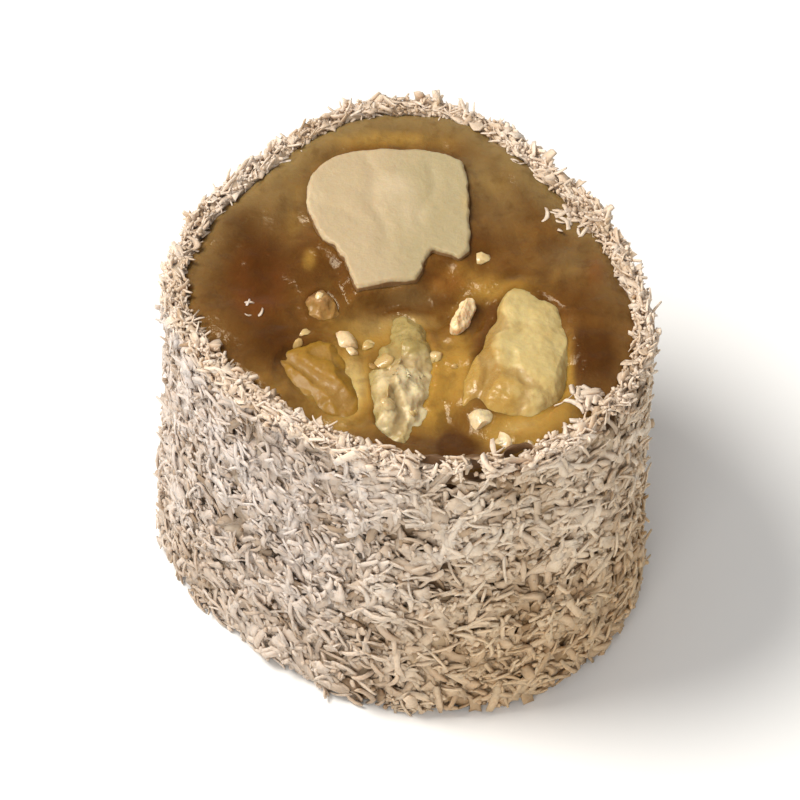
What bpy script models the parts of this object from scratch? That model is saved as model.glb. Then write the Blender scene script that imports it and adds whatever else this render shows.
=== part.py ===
"""One slice of walnut Turkish delight, cut from a roll that is coated in coconut.

Metres, +Z up. The slice stands on its lower cut face, and its upper cut face shows the walnuts.
The origin is on the floor, at the middle of the slice's outer box.
"""

import math
import random

import bmesh
import bpy
from mathutils import Vector, noise

MM = 0.001

# Size of the slice
SLICE_HEIGHT = 24.0 * MM
ROLL_RADII = [14.0, 12.9, 13.6, 15.5, 14.7, 14.4, 15.5, 14.9, 14.5, 16.0, 17.0, 16.6]  # mm, every 30 degrees
SLUMP = 0.035  # how much wider the soft slice is at its foot
LEAN = -0.7 * MM  # how far the foot lies towards -X of the upper face
FOOT_ROUND = 1.2 * MM  # radius of the soft edge round the foot
WALL_WAVE = 0.30 * MM
WALL_WAVE_LENGTH = 9.0 * MM

# Fit of one piece in another
CLEARANCE = 0.30 * MM
COAT_THICKNESS = 1.05 * MM
COAT_FOOT = 0.40 * MM  # how far above the floor the coconut ends
COAT_LIP = 0.35 * MM  # how far the coconut stands above the jelly

# The jelly's upper face
JELLY_SIDES = 40
FACE_RINGS = (0.92, 0.78, 0.62, 0.44, 0.22)  # as shares of the radius
FACE_EDGE_DROP = 0.35 * MM
FACE_WAVE = 0.25 * MM
FACE_WAVE_LENGTH = 4.5 * MM
FACE_HOLLOWS = [  # x, y, radius and depth, in mm
    (-2.2, -4.4, 3.6, 1.3),
    (2.8, -3.0, 2.6, 1.1),
    (2.6, -11.6, 3.0, 1.3),
    (-4.0, -9.6, 4.0, 0.9),
    (-9.4, 0.4, 3.6, 0.45),
    (9.0, 3.6, 3.0, 0.4),
]

# Outlines of the nuts, seen from above, in mm
BACK_NUT = [
    (-6.6, 8.8), (-4.8, 10.2), (-1.5, 10.8), (1.7, 10.5), (3.4, 9.7), (3.65, 5.2), (3.6, 0.6),
    (0.9, 2.1), (0.4, -1.0), (-1.6, -0.9), (-3.8, -1.9), (-4.1, 0.2), (-4.9, 1.6), (-6.2, 3.1), (-7.0, 5.6),
]
RIGHT_NUT = [
    (2.7, -9.8), (3.5, -6.6), (4.7, -3.6), (5.6, -0.6), (7.3, 0.3), (9.0, -1.6),
    (9.9, -5.0), (10.0, -8.6), (9.3, -11.4), (7.0, -13.0), (4.6, -12.9), (3.0, -11.8),
]
MIDDLE_NUT = [
    (-2.4, -4.2), (-0.8, -2.2), (0.6, -3.4), (1.3, -7.0),
    (1.3, -12.2), (-0.2, -13.6), (-2.4, -12.6), (-2.7, -8.0),
]
LEFT_NUT = [
    (-9.4, -5.6), (-6.8, -4.3), (-4.6, -4.5), (-3.1, -5.8),
    (-3.1, -9.5), (-3.2, -12.4), (-5.0, -11.8), (-7.4, -9.8),
]
SMALL_NUT = [(-7.2, -1.6), (-5.6, -0.6), (-4.7, -1.8), (-4.4, -3.2), (-5.2, -3.7), (-6.9, -3.4)]
CHIP = [(2.1, -4.8), (2.6, -3.1), (3.3, -1.7), (4.0, -2.1), (3.6, -3.6), (2.8, -5.0)]
FOOT_NUT = [(-9.8, -3.4), (-6.6, -2.6), (-3.6, -4.4), (-3.4, -8.4), (-6.4, -10.2), (-9.4, -7.0)]
CORNER_CUT = 0.18
CREASE_LENGTH = 3.2 * MM
BUMP_LENGTH = 2.4 * MM

# Shreds of coconut
COAT_SIDES = 60
COAT_GRAIN = 0.16 * MM
COAT_GRAIN_LENGTH = 1.7 * MM
SHRED_ROWS = 8
SHREDS_IN_A_ROW = 14
RIM_SHREDS = 18
SHRED_LENGTH = (2.6 * MM, 4.2 * MM)
SHRED_WIDTH = (0.65 * MM, 0.95 * MM)
SHRED_THICKNESS = 0.48 * MM
SHRED_PROUD = 0.07 * MM  # how far a shred's middle lies outside the roll
SHRED_LIFT = 0.9 * MM  # how far a loose end may stand off the roll
SHRED_SECTIONS = ((-0.5, 0.45), (-0.17, 1.0), (0.17, 1.0), (0.5, 0.4))  # place along it, share of its width
SEED = 11


def clear_scene():
    """Removes what the startup scene holds."""
    for obj in list(bpy.data.objects):
        bpy.data.objects.remove(obj)


def material(name, colour, roughness):
    """A Principled material in the food's colour."""
    made = bpy.data.materials.new(name)
    made.use_nodes = True
    shader = made.node_tree.nodes["Principled BSDF"]
    shader.inputs["Base Color"].default_value = (*colour, 1.0)
    shader.inputs["Roughness"].default_value = roughness
    shader.inputs["Metallic"].default_value = 0.0
    made.diffuse_color = (*colour, 1.0)
    return made


def object_from(bm, name, paint=None):
    """Turns a bmesh into an object with outward faces and soft shading."""
    bmesh.ops.recalc_face_normals(bm, faces=bm.faces)
    mesh = bpy.data.meshes.new(name)
    bm.to_mesh(mesh)
    bm.free()
    mesh.shade_smooth()
    mesh.set_sharp_from_angle(angle=math.radians(50))
    obj = bpy.data.objects.new(name, mesh)
    bpy.context.scene.collection.objects.link(obj)
    if paint:
        mesh.materials.append(paint)
    return obj


def collection(name):
    """A new collection in the scene."""
    made = bpy.data.collections.new(name)
    bpy.context.scene.collection.children.link(made)
    return made


def move_to(obj, group):
    """Moves an object from the scene's own collection to another."""
    bpy.context.scene.collection.objects.unlink(obj)
    group.objects.link(obj)


def angles(count):
    """Angles evenly round a circle."""
    return [2 * math.pi * i / count for i in range(count)]


def flat_direction(angle):
    """The direction away from the roll's axis at an angle."""
    return Vector((math.cos(angle), math.sin(angle), 0.0))


def tube(bm, rows):
    """Joins rows of points, each a closed ring, into a tube of faces."""
    rings = [[bm.verts.new(point) for point in row] for row in rows]
    for lower, upper in zip(rings, rings[1:]):
        for i in range(len(lower)):
            j = (i + 1) % len(lower)
            bm.faces.new((lower[i], lower[j], upper[j], upper[i]))
    return rings


def roll_radius(angle):
    """Radius of the coated roll at an angle: one smooth closed curve through ROLL_RADII."""
    count = len(ROLL_RADII)
    total = 0.0
    for k in range(count // 2 + 1):
        weight = 1.0 if k in (0, count // 2) else 2.0
        for i, radius in enumerate(ROLL_RADII):
            total += weight * radius * math.cos(k * (angle - 2 * math.pi * i / count)) / count
    return total * MM


def wall_point(angle, z, inset=0.0):
    """A point of the slice's side, so far inside the coconut's outer face."""
    above_foot = z / SLICE_HEIGHT
    out = flat_direction(angle)
    wave = WALL_WAVE * noise.noise(Vector((2.2 * out.x, 2.2 * out.y, z / WALL_WAVE_LENGTH)))
    under = max(0.0, 1.0 - z / FOOT_ROUND)
    tuck = FOOT_ROUND * (1.0 - math.sqrt(1.0 - under * under))
    slumped = roll_radius(angle) * (1.0 + SLUMP * (1.0 - above_foot) ** 2)
    return out * (slumped + wave - tuck - inset) + Vector((LEAN * (1.0 - above_foot), 0.0, z))


def face_height(x, y):
    """Height of the jelly's upper face, which the knife left uneven."""
    z = SLICE_HEIGHT + FACE_WAVE * noise.noise(Vector((x, y, 0.0)) / FACE_WAVE_LENGTH)
    for hollow_x, hollow_y, radius, depth in FACE_HOLLOWS:
        distance = math.hypot(x / MM - hollow_x, y / MM - hollow_y) / radius
        z -= depth * MM * math.exp(-distance * distance)
    return z


def jelly_body(paint):
    """The translucent jelly: a soft drum with an uneven upper face."""
    inset = COAT_THICKNESS + CLEARANCE
    rows = []
    for z in (0.0, 0.2 * FOOT_ROUND, FOOT_ROUND, 7 * MM, 13 * MM, 19 * MM, SLICE_HEIGHT - 1 * MM):
        rows.append([wall_point(angle, z, inset) for angle in angles(JELLY_SIDES)])
    edge = [wall_point(angle, SLICE_HEIGHT, inset) for angle in angles(JELLY_SIDES)]
    rows.append([Vector((p.x, p.y, face_height(p.x, p.y) - FACE_EDGE_DROP)) for p in edge])
    for share in FACE_RINGS:
        ring = [point * share for point in edge]
        rows.append([Vector((p.x, p.y, face_height(p.x, p.y))) for p in ring])
    bm = bmesh.new()
    rings = tube(bm, rows)
    bm.faces.new(reversed(rings[0]))
    middle = bm.verts.new((0.0, 0.0, face_height(0.0, 0.0)))
    for a, b in zip(rings[-1], rings[-1][1:] + rings[-1][:1]):
        bm.faces.new((a, b, middle))
    return object_from(bm, "jelly", paint)


def rounded(outline, rounds=2):
    """Cuts the corners of an outline, so that a nut's edge is soft."""
    points = [Vector((x * MM, y * MM)) for x, y in outline]
    for _ in range(rounds):
        cut = []
        for here, after in zip(points, points[1:] + points[:1]):
            cut.append(here.lerp(after, CORNER_CUT))
            cut.append(here.lerp(after, 1.0 - CORNER_CUT))
        points = cut
    return points


def evenly(points, count):
    """Spreads a number of points evenly along a closed outline."""
    closed = points + points[:1]
    lengths = [(b - a).length for a, b in zip(closed, closed[1:])]
    step = sum(lengths) / count
    spread = []
    walked = 0.0
    i = 0
    for k in range(count):
        while walked + lengths[i] < k * step:
            walked += lengths[i]
            i += 1
        spread.append(closed[i].lerp(closed[i + 1], (k * step - walked) / lengths[i]))
    return spread


def near_top(rise, scale=1.0, roundness=0.0, shift_x=0.0, shift_y=0.0):
    """A nut's level, measured in mm from the slice's upper face."""
    return (SLICE_HEIGHT / MM + rise, scale, roundness, shift_x, shift_y)


def nut_rows(outline, sides, levels, fold, seed):
    """Rings of a nut, from its upper end down.

    A level is its height, its scale, how nearly round it is, and its shift in X and Y, with lengths in mm.
    """
    points = evenly(rounded(outline), sides)
    middle = sum(points, Vector((0.0, 0.0))) / sides
    mean_radius = sum((point - middle).length for point in points) / sides
    start = Vector((seed, 0.0, 0.0))
    rows = []
    for z, scale, roundness, shift_x, shift_y in levels:
        row = []
        for point in points:
            spoke = point - middle
            spoke = spoke.lerp(spoke.normalized() * mean_radius, roundness) * scale
            place = (middle + spoke + Vector((shift_x, shift_y)) * MM).to_3d()
            place.z = z * MM
            crease = abs(noise.noise(place / CREASE_LENGTH + start))
            inward = fold * MM * crease * min(1.0, scale * (0.3 + roundness))
            row.append(place - spoke.normalized().to_3d() * inward)
        rows.append(row)
    return rows


def roughen(rows, count, height, seed):
    """Makes the highest rings of an uncut nut bumpy, most at its middle."""
    start = Vector((0.0, seed, 0.0))
    for i in range(count):
        strength = height * MM * (1.0 - i / (count + 1))
        rows[i] = [p + Vector((0.0, 0.0, strength * noise.noise(p / BUMP_LENGTH + start))) for p in rows[i]]
    return rows


def nut_solid(name, rows, paint, cut_top=False):
    """Closes a nut's rings. A cut nut has a flat top, and an uncut one is rounded off."""
    bm = bmesh.new()
    rings = tube(bm, list(reversed(rows)))
    bm.faces.new(reversed(rings[0]))
    if cut_top:
        bm.faces.new(rings[-1])
    else:
        top = sum((vert.co for vert in rings[-1]), Vector()) / len(rings[-1])
        crown = bm.verts.new(top + Vector((0.0, 0.0, 0.08 * MM)))
        for a, b in zip(rings[-1], rings[-1][1:] + rings[-1][:1]):
            bm.faces.new((a, b, crown))
    return object_from(bm, name, paint)


def walnut_back(paint):
    """The large piece that the knife cut flat. It runs through to the lower face."""
    levels = [
        near_top(0.45, 0.975),
        near_top(0.25),
        near_top(-1.6, 1.0, 0.1),
        near_top(-4.5, 1.02, 0.5, -0.2, 0.6),
        (15.0, 1.08, 0.9, -0.4, 1.0),
        (10.5, 0.98, 1.0, 0.2, 1.2),
        (6.5, 1.06, 0.9, 0.6, 1.2),
        (2.5, 0.95, 0.8, 0.8, 1.0),
        (0.0, 0.86, 0.7, 0.8, 1.0),
    ]
    return nut_solid("walnut_back", nut_rows(BACK_NUT, 40, levels, 1.2, 2.0), paint, cut_top=True)


def walnut_right(paint):
    """The long rounded piece. It runs through to the lower face."""
    levels = [
        near_top(0.55, 0.26, 0.1, 0.5, 0.9),
        near_top(0.45, 0.52, 0.0, 0.3, 0.5),
        near_top(0.05, 0.76, 0.0, 0.1, 0.2),
        near_top(-0.7, 0.92),
        near_top(-2.0),
        near_top(-5.5, 0.96, 0.15, 0.2, 0.3),
        (14.0, 0.92, 0.6, -0.2, 0.6),
        (9.5, 1.02, 0.7, -0.6, 0.6),
        (5.0, 0.94, 0.6, -0.8, 0.8),
        (0.0, 0.80, 0.5, -1.0, 1.0),
    ]
    rows = nut_rows(RIGHT_NUT, 32, levels, 0.9, 5.0)
    return nut_solid("walnut_right", roughen(rows, 3, 0.5, 1.0), paint)


def walnut_middle(paint):
    """The crumbly piece that lies low between two others."""
    levels = [
        near_top(-0.10, 0.28, 0.0, -0.2, -1.4),
        near_top(-0.25, 0.56, 0.0, -0.1, -0.8),
        near_top(-0.6, 0.80, 0.0, 0.0, -0.2),
        near_top(-1.2, 0.95),
        near_top(-2.4),
        near_top(-4.5, 0.90, 0.1),
        near_top(-7.0, 0.75, 0.2, 0.0, 0.2),
        near_top(-9.0, 0.45, 0.4, 0.0, 0.2),
    ]
    rows = nut_rows(MIDDLE_NUT, 28, levels, 1.0, 9.0)
    return nut_solid("walnut_middle", roughen(rows, 4, 1.1, 4.0), paint)


def walnut_left(paint):
    """The piece under syrup at the front left."""
    levels = [
        near_top(-0.15, 0.26, 0.1, 0.2, 0.2),
        near_top(-0.30, 0.58, 0.0, 0.1, 0.1),
        near_top(-0.8, 0.86),
        near_top(-1.8),
        near_top(-4.5, 0.92, 0.2, 0.0, 0.3),
        near_top(-8.0, 0.50, 0.6, 0.0, 0.6),
    ]
    rows = nut_rows(LEFT_NUT, 24, levels, 0.7, 13.0)
    return nut_solid("walnut_left", roughen(rows, 3, 0.6, 7.0), paint)


def walnut_small(paint):
    """The small piece behind the left one."""
    levels = [
        near_top(0.05, 0.32, 0.1),
        near_top(-0.25, 0.72),
        near_top(-1.0),
        near_top(-2.6, 0.90, 0.2),
        near_top(-4.4, 0.45, 0.6),
    ]
    rows = nut_rows(SMALL_NUT, 18, levels, 0.6, 17.0)
    return nut_solid("walnut_small", roughen(rows, 2, 0.5, 8.0), paint)


def walnut_chip(paint):
    """The chip that stands up beside the right piece."""
    levels = [
        near_top(0.45, 0.45),
        near_top(0.10, 0.90),
        near_top(-0.9),
        near_top(-2.4, 0.6, 0.3),
    ]
    return nut_solid("walnut_chip", nut_rows(CHIP, 14, levels, 0.3, 21.0), paint)


def walnut_foot(paint):
    """A piece that the lower cut goes through."""
    levels = [
        (8.5, 0.45, 0.8, 0.4, 0.0),
        (6.5, 0.85, 0.5, 0.2, 0.0),
        (3.0, 1.05, 0.2, 0.0, 0.0),
        (0.0, 1.0, 0.0, 0.0, 0.0),
    ]
    return nut_solid("walnut_foot", nut_rows(FOOT_NUT, 26, levels, 1.2, 25.0), paint)


def bed_cutter(nut, cutters):
    """A copy of a nut, grown by the clearance, which cuts the nut's bed out of the jelly."""
    bm = bmesh.new()
    bm.from_mesh(nut.data)
    bm.normal_update()
    grown = [vert.co + vert.normal * CLEARANCE * min(2.0, vert.calc_shell_factor()) for vert in bm.verts]
    for vert, place in zip(bm.verts, grown):
        vert.co = place
    cutter = object_from(bm, "bed_of_" + nut.name)
    move_to(cutter, cutters)
    cutter.hide_render = True
    cutter.display_type = "WIRE"


def cut_beds(jelly, nuts):
    """Cuts a bed for each nut out of the jelly."""
    cutters = collection("beds")
    for nut in nuts:
        bed_cutter(nut, cutters)
    beds = jelly.modifiers.new("beds", "BOOLEAN")
    beds.operation = "DIFFERENCE"
    beds.operand_type = "COLLECTION"
    beds.collection = cutters
    beds.solver = "EXACT"


def coat_wall(paint):
    """The coconut pressed on the roll: a thin wall round the jelly, open at both cut faces."""
    outer = []
    inner = []
    for z in (COAT_FOOT, FOOT_ROUND, 5 * MM, 9 * MM, 13 * MM, 17 * MM, 22 * MM):
        row = []
        for angle in angles(COAT_SIDES):
            point = wall_point(angle, z)
            row.append(point + flat_direction(angle) * COAT_GRAIN * noise.noise(point / COAT_GRAIN_LENGTH))
        outer.append(row)
        inner.append([wall_point(angle, z, COAT_THICKNESS) for angle in angles(COAT_SIDES)])
    outer_rim = []
    inner_rim = []
    for angle in angles(COAT_SIDES):
        uneven = 0.5 + noise.noise(flat_direction(angle) * 6.0)
        z = SLICE_HEIGHT + COAT_LIP * uneven
        outer_rim.append(wall_point(angle, z, 0.15 * COAT_THICKNESS))
        inner_rim.append(wall_point(angle, z, COAT_THICKNESS))
    bm = bmesh.new()
    tube(bm, outer + [outer_rim, inner_rim] + list(reversed(inner)) + outer[:1])
    bmesh.ops.remove_doubles(bm, verts=bm.verts, dist=0.001 * MM)
    return object_from(bm, "coconut_coat", paint)


def shred(centre, along, out, length, width, curl=0.0, lift=0.0):
    """One shred of coconut: a thin strip that narrows to both ends, one of which may stand off."""
    across = along.cross(out).normalized()
    sections = []
    for step, narrow in SHRED_SECTIONS:
        stand_off = lift * max(0.0, step + 0.2) - curl * (2 * step) ** 2
        place = centre + along * (step * length) + out * stand_off
        side = across * (width * narrow / 2)
        thick = out * (SHRED_THICKNESS * (0.6 + 0.4 * narrow) / 2)
        top = place + thick
        bottom = place - thick
        sections.append([top + side, top - side, bottom - side, bottom + side])
    bm = bmesh.new()
    rings = tube(bm, sections)
    bm.faces.new(reversed(rings[0]))
    bm.faces.new(rings[-1])
    return bm


def side_shreds(rng):
    """Shreds that lie on the coat's side, spread evenly."""
    made = []
    low = 2.2 * MM
    high = SLICE_HEIGHT - 2.4 * MM
    for row in range(SHRED_ROWS):
        for i in range(SHREDS_IN_A_ROW):
            angle = 2 * math.pi * (i + 0.5 * (row % 2) + rng.uniform(-0.25, 0.25)) / SHREDS_IN_A_ROW
            z = low + (high - low) * (row + rng.uniform(-0.2, 0.2)) / (SHRED_ROWS - 1)
            out = flat_direction(angle)
            tilt = rng.uniform(0.15, 0.85) * math.pi
            along = Vector((-out.y * math.cos(tilt), out.x * math.cos(tilt), math.sin(tilt)))
            length = rng.uniform(*SHRED_LENGTH)
            curl = (length * math.cos(tilt)) ** 2 / (8 * roll_radius(angle))
            lift = max(0.0, rng.uniform(-1.0, 1.0)) * SHRED_LIFT
            centre = wall_point(angle, z, -SHRED_PROUD)
            made.append(shred(centre, along, out, length, rng.uniform(*SHRED_WIDTH), curl, lift))
    return made


def rim_shreds(rng):
    """Shreds that stand up from the coat's rim round the upper face."""
    made = []
    for i in range(RIM_SHREDS):
        angle = 2 * math.pi * (i + rng.uniform(-0.3, 0.3)) / RIM_SHREDS
        out = flat_direction(angle)
        tilt = rng.uniform(0.25, 0.75) * math.pi
        along = Vector((-out.y * math.cos(tilt), out.x * math.cos(tilt), math.sin(tilt)))
        along = (along + out * rng.uniform(0.1, 0.45)).normalized()
        face_out = (out - along * out.dot(along)).normalized()
        length = rng.uniform(*SHRED_LENGTH) * 0.75
        centre = wall_point(angle, SLICE_HEIGHT - 0.5 * MM, 0.2 * COAT_THICKNESS)
        made.append(shred(centre, along, face_out, length, rng.uniform(*SHRED_WIDTH)))
    return made


def connected_verts(start, unseen):
    """All the vertices that edges join to one, taken out of the unseen ones."""
    found = [start]
    to_visit = [start]
    while to_visit:
        vert = to_visit.pop()
        for edge in vert.link_edges:
            other = edge.other_vert(vert)
            if other in unseen:
                unseen.remove(other)
                to_visit.append(other)
                found.append(other)
    return found


def drop_scraps(obj):
    """Keeps the largest connected body of a mesh."""
    bm = bmesh.new()
    bm.from_mesh(obj.data)
    unseen = set(bm.verts)
    bodies = []
    while unseen:
        bodies.append(connected_verts(unseen.pop(), unseen))
    bodies.sort(key=len)
    for body in bodies[:-1]:
        bmesh.ops.delete(bm, geom=body, context="VERTS")
    bm.to_mesh(obj.data)
    bm.free()


def fuse_shreds(coat):
    """Joins the shreds to the coat with one union."""
    rng = random.Random(SEED)
    group = collection("shreds")
    for i, bm in enumerate(side_shreds(rng) + rim_shreds(rng)):
        move_to(object_from(bm, f"shred_{i:03d}"), group)
    union = coat.modifiers.new("fuse", "BOOLEAN")
    union.operation = "UNION"
    union.operand_type = "COLLECTION"
    union.collection = group
    union.solver = "EXACT"
    bpy.context.view_layer.objects.active = coat
    bpy.ops.object.modifier_apply(modifier=union.name)
    for piece in list(group.objects):
        bpy.data.objects.remove(piece)
    bpy.data.collections.remove(group)
    drop_scraps(coat)


def centre_on(obj):
    """Moves every piece, so that the middle of one piece's box is over the origin."""
    corners = [vert.co for vert in obj.data.vertices]
    middle_x = (min(c.x for c in corners) + max(c.x for c in corners)) / 2
    middle_y = (min(c.y for c in corners) + max(c.y for c in corners)) / 2
    for piece in bpy.data.objects:
        piece.location = (-middle_x, -middle_y, 0.0)


def main():
    clear_scene()
    jelly_paint = material("jelly", (0.25, 0.11, 0.03), 0.2)
    walnut_paint = material("walnut", (0.66, 0.50, 0.28), 0.5)
    coconut_paint = material("coconut", (0.62, 0.52, 0.41), 0.8)

    makers = (walnut_back, walnut_right, walnut_middle, walnut_left, walnut_small, walnut_chip, walnut_foot)
    nuts = [make(walnut_paint) for make in makers]
    cut_beds(jelly_body(jelly_paint), nuts)

    coat = coat_wall(coconut_paint)
    fuse_shreds(coat)
    centre_on(coat)


main()
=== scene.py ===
# One slice of walnut Turkish delight: jelly, walnut pieces and a coat of coconut shreds
import math
import random

import bpy
import numpy as np
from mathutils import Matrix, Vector, noise
from mathutils.bvhtree import BVHTree


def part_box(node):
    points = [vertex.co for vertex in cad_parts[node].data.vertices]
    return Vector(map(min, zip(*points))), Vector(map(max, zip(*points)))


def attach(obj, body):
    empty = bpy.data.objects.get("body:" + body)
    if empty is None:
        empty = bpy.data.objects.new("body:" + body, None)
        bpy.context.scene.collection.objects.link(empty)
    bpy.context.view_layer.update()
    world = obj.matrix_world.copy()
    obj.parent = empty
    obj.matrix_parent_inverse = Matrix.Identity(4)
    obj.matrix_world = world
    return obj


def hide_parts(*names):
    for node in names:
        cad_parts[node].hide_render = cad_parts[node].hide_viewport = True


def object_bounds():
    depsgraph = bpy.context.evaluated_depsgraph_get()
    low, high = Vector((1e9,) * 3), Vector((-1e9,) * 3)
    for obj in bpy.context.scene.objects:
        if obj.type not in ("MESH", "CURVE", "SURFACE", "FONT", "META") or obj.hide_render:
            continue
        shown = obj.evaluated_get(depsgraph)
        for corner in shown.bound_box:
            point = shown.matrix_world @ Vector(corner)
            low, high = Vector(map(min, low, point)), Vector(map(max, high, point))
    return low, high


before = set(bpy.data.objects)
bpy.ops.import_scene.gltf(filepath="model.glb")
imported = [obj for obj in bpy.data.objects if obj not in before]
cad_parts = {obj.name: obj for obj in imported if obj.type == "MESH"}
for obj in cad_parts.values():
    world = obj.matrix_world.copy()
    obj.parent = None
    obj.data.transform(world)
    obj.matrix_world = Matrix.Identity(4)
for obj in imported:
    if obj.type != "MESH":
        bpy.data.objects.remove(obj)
cadLow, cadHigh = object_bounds()

mm = 0.001
backNutStands = 0.45 * mm  # how far the back nut stands above the upper cut face
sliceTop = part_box("walnut_back")[1].z - backNutStands
sliceMiddle = (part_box("jelly")[0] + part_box("jelly")[1]) / 2
mergeDistance = 0.001 * mm
floorGap = 0.05 * mm  # loose bits stay this far above the floor
looseRoom = 0.55 * mm  # and at most this far above the slice


# Modelling tools

def deselectAll():
    if bpy.context.mode != "OBJECT":
        bpy.ops.object.mode_set(mode="OBJECT")
    bpy.ops.object.select_all(action="DESELECT")


def makeActive(obj):
    deselectAll()
    obj.select_set(True)
    bpy.context.view_layer.objects.active = obj


def editAll(obj):
    makeActive(obj)
    bpy.ops.object.mode_set(mode="EDIT")
    bpy.ops.mesh.select_all(action="SELECT")


def copyOfSolid(nodeName, newName):  # a merged copy, which a finer piece is shaped from
    obj = bpy.data.objects.new(newName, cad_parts[nodeName].data.copy())
    bpy.context.scene.collection.objects.link(obj)
    obj.data.materials.clear()
    editAll(obj)
    bpy.ops.mesh.remove_doubles(threshold=mergeDistance)
    bpy.ops.object.mode_set(mode="OBJECT")
    return obj


def applyModifier(obj, kind, **settings):
    makeActive(obj)
    modifier = obj.modifiers.new(kind.lower(), kind)
    for key, value in settings.items():
        setattr(modifier, key, value)
    bpy.ops.object.modifier_apply(modifier=modifier.name)


def reliefTexture(kind, size, **settings):
    texture = bpy.data.textures.new(kind.lower(), kind)
    texture.noise_scale = size
    for key, value in settings.items():
        setattr(texture, key, value)
    return texture


def addRelief(obj, texture, height, direction="NORMAL", group=""):
    applyModifier(
        obj, "DISPLACE", texture=texture, texture_coords="LOCAL", strength=height, mid_level=0.5,
        direction=direction, vertex_group=group)


def swell(obj, height, direction="NORMAL", group=""):
    applyModifier(
        obj, "DISPLACE", strength=height, mid_level=0.0, direction=direction, vertex_group=group)


def moveVertices(obj, points):
    obj.data.vertices.foreach_set("co", points.ravel())
    obj.data.update()


def levelBetween(obj, low, high):  # presses flat what passes two heights
    points = verticesOf(obj)
    points[:, 2] = np.clip(points[:, 2], low, high)
    moveVertices(obj, points)


def levelFoot(obj, height):  # the lower cut face
    points, outward = verticesOf(obj), normalsOf(obj)
    facesFloor = (points[:, 2] < 0.5 * mm) & (outward[:, 2] < -0.6)
    points[facesFloor | (points[:, 2] < height), 2] = height
    moveVertices(obj, points)


def joinInto(obj, others):
    makeActive(obj)
    for other in others:
        other.select_set(True)
    bpy.ops.object.join()


def verticesOf(obj):
    points = np.empty(len(obj.data.vertices) * 3)
    obj.data.vertices.foreach_get("co", points)
    return points.reshape(-1, 3)


def normalsOf(obj):
    normals = np.empty(len(obj.data.vertices) * 3)
    obj.data.vertices.foreach_get("normal", normals)
    return normals.reshape(-1, 3)


def refineFaces(obj, wanted):  # halves the faces that a rule picks by middle and normal
    editAll(obj)
    bpy.ops.mesh.select_mode(type="FACE")
    bpy.ops.mesh.select_all(action="DESELECT")
    bpy.ops.object.mode_set(mode="OBJECT")
    for face in obj.data.polygons:
        face.select = wanted(face.center, face.normal)
    bpy.ops.object.mode_set(mode="EDIT")
    bpy.ops.mesh.subdivide(number_cuts=1, smoothness=0.0)
    bpy.ops.object.mode_set(mode="OBJECT")


def treeOf(obj):
    faces = [tuple(face.vertices) for face in obj.data.polygons]
    return BVHTree.FromPolygons([v.co for v in obj.data.vertices], faces)


def distancesTo(obj, targets):  # from each vertex to the nearest face of the targets
    trees = [treeOf(target) for target in targets]
    return np.array([min(tree.find_nearest(v.co)[3] for tree in trees) for v in obj.data.vertices])


def patchField(points, patches):  # soft ovals on the cut face: x, y, half widths in mm, amount
    field = np.zeros(len(points))
    for x, y, wide, deep, amount in patches:
        far = ((points[:, 0] / mm - x) / wide) ** 2 + ((points[:, 1] / mm - y) / deep) ** 2
        field += amount * np.exp(-far)
    return field


def storeValues(obj, name, values):
    attribute = obj.data.attributes.new(name, "FLOAT", "POINT")
    attribute.data.foreach_set("value", np.asarray(values, dtype=np.float32))


def finishPiece(obj, material, slot, *nodes):
    obj.data.materials.clear()
    obj.data.materials.append(material)
    makeActive(obj)
    bpy.ops.object.shade_smooth()
    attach(obj, "root")
    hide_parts(*nodes)
    deselectAll()


# Tools for materials: each adds one node and gives its output

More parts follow.
